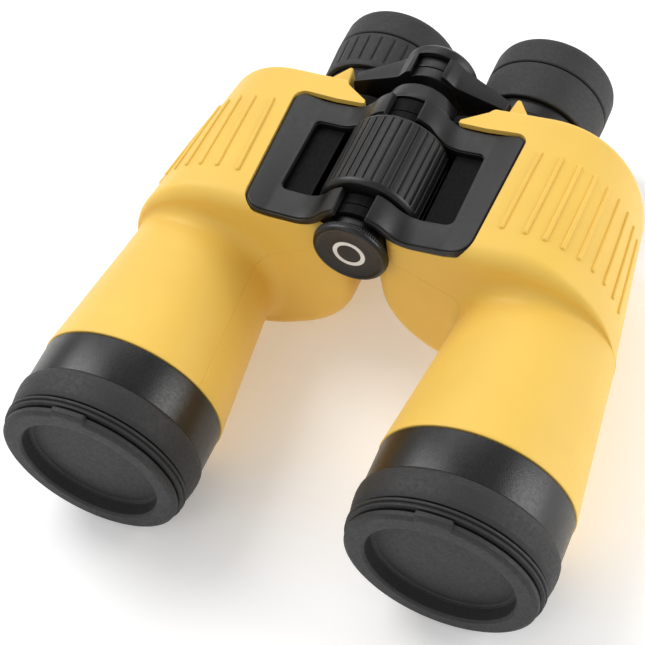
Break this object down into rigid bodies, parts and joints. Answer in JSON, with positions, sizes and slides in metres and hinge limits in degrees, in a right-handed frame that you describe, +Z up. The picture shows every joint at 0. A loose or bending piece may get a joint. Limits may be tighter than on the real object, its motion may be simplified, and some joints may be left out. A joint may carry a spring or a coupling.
{
  "type": "porro prism binoculars",
  "caption": "Full-size centre-focus Porro-prism binoculars with ribbed yellow rubber armour, black top plates and focus wheel, dioptre ring, eyecups and push-in objective caps.",
  "frame": {"origin": "centre of the underside of the box round the binoculars as they lie on their underside, folded as in the picture", "axes": "+X from the hinge towards the user's left half, +Y from the objectives towards the eyepieces along the hinge, +Z up towards the top plates and the focus wheel"},
  "size_m": [0.1868, 0.2014, 0.0816],
  "materials": {
    "armour": "satin moulded yellow rubber",
    "black_plastic": "satin moulded black",
    "black_satin": "satin black paint",
    "black_rubber": "fine matte grain",
    "housing": "matte moulded black",
    "anodised": "black anodised",
    "steel": "ground",
    "brass": "turned",
    "coated_glass": "polished, anti-reflection coated",
    "prism_glass": "polished"
  },
  "bodies": {
    "left_half": {"left_armour": "armour", "left_prism_housing": "housing", "left_rear_cover": "housing", "left_objective_tube": "anodised", "left_objective_sleeve": "black_satin", "left_bumper_band": "black_rubber", "left_rim_ring": "black_rubber", "left_objective_cell": "anodised", "left_retaining_ring": "anodised", "left_objective_lens": "coated_glass", "left_rear_prism": "prism_glass", "left_front_prism": "prism_glass", "left_prism_shelf": "anodised", "left_frame_plate": "black_plastic", "left_guide_tube": "anodised", "hinge_axle": "steel", "socket_collar": "black_plastic", "tripod_socket": "brass", "rear_collar": "black_plastic"},
    "right_half": {"right_armour": "armour", "right_prism_housing": "housing", "right_rear_cover": "housing", "right_objective_tube": "anodised", "right_objective_sleeve": "black_satin", "right_bumper_band": "black_rubber", "right_rim_ring": "black_rubber", "right_objective_cell": "anodised", "right_retaining_ring": "anodised", "right_objective_lens": "coated_glass", "right_rear_prism": "prism_glass", "right_front_prism": "prism_glass", "right_prism_shelf": "anodised", "right_frame_plate": "black_plastic", "right_guide_tube": "anodised"},
    "left_cap": {"left_objective_cap": "black_rubber"},
    "right_cap": {"right_objective_cap": "black_rubber"},
    "socket_cap": {"socket_cap": "black_plastic"},
    "focus_wheel": {"focus_wheel": "black_plastic", "focus_wheel_hub": "anodised"},
    "bridge": {"focus_rod": "steel", "bridge_end_cap": "black_plastic", "left_bridge_arm": "black_plastic", "left_ocular_base": "black_plastic", "left_eyepiece_band": "black_rubber", "left_ocular_barrel": "anodised", "left_field_lens": "coated_glass", "left_eye_lens": "coated_glass", "left_eye_lens_ring": "black_plastic"},
    "right_arm": {"right_bridge_arm": "black_plastic", "right_ocular_base": "black_plastic"},
    "right_ocular": {"right_ocular_barrel": "anodised", "right_field_lens": "coated_glass", "right_eye_lens": "coated_glass", "right_eye_lens_ring": "black_plastic"},
    "dioptre_ring": {"dioptre_ring": "black_rubber"},
    "left_cup_twist": {"left_cam_sleeve": "black_plastic"},
    "left_eyecup": {"left_eyecup": "black_rubber"},
    "right_cup_twist": {"right_cam_sleeve": "black_plastic"},
    "right_eyecup": {"right_eyecup": "black_rubber"}
  },
  "joints": [
    {"name": "interpupillary_fold", "type": "hinge", "parent": "left_half", "child": "right_half", "pos_m": [0, 0, 0.064], "axis": [0, 1, 0], "range_deg": [-6.5, 38]},
    {"name": "focus_turn", "type": "hinge", "parent": "left_half", "child": "focus_wheel", "pos_m": [0, 0, 0.064], "axis": [0, 1, 0], "range_deg": [-200, 250]},
    {"name": "focus_travel", "type": "slide", "parent": "left_half", "child": "bridge", "axis": [0, 1, 0], "range_m": [-0.00296, 0.0037]},
    {"name": "arm_fold", "type": "hinge", "parent": "bridge", "child": "right_arm", "pos_m": [0, 0, 0.064], "axis": [0, 1, 0], "range_deg": [-6.5, 38]},
    {"name": "dioptre_travel", "type": "slide", "parent": "right_arm", "child": "right_ocular", "axis": [0, 1, 0], "range_m": [-0.00146, 0.00146]},
    {"name": "dioptre_turn", "type": "hinge", "parent": "right_ocular", "child": "dioptre_ring", "pos_m": [-0.0296, 0.07, 0.037], "axis": [0, 1, 0], "range_deg": [-60, 60]},
    {"name": "left_cup_turn", "type": "hinge", "parent": "bridge", "child": "left_cup_twist", "pos_m": [0.0296, 0.07, 0.037], "axis": [0, 1, 0], "range_deg": [0, 90]},
    {"name": "left_cup_rise", "type": "slide", "parent": "left_cup_twist", "child": "left_eyecup", "axis": [0, 1, 0], "range_m": [0, 0.00785]},
    {"name": "right_cup_turn", "type": "hinge", "parent": "right_ocular", "child": "right_cup_twist", "pos_m": [-0.0296, 0.07, 0.037], "axis": [0, -1, 0], "range_deg": [0, 90]},
    {"name": "right_cup_rise", "type": "slide", "parent": "right_cup_twist", "child": "right_eyecup", "axis": [0, 1, 0], "range_m": [0, 0.00785]},
    {"name": "left_cap_pull", "type": "slide", "parent": "left_half", "child": "left_cap", "axis": [0, -1, 0], "range_m": [0, 0.015]},
    {"name": "right_cap_pull", "type": "slide", "parent": "right_half", "child": "right_cap", "axis": [0, -1, 0], "range_m": [0, 0.015]},
    {"name": "socket_cap_unscrew", "type": "slide", "parent": "left_half", "child": "socket_cap", "axis": [0, -1, 0], "range_m": [0, 0.012]}
  ],
  "couplings": [
    {"joint": "focus_turn", "follows": "focus_travel", "rad_per_m": 1176.5},
    {"joint": "arm_fold", "follows": "interpupillary_fold", "ratio": 1},
    {"joint": "dioptre_turn", "follows": "dioptre_travel", "rad_per_m": 714.29},
    {"joint": "left_cup_turn", "follows": "left_cup_rise", "rad_per_m": 200},
    {"joint": "right_cup_turn", "follows": "right_cup_rise", "rad_per_m": 200}
  ]
}
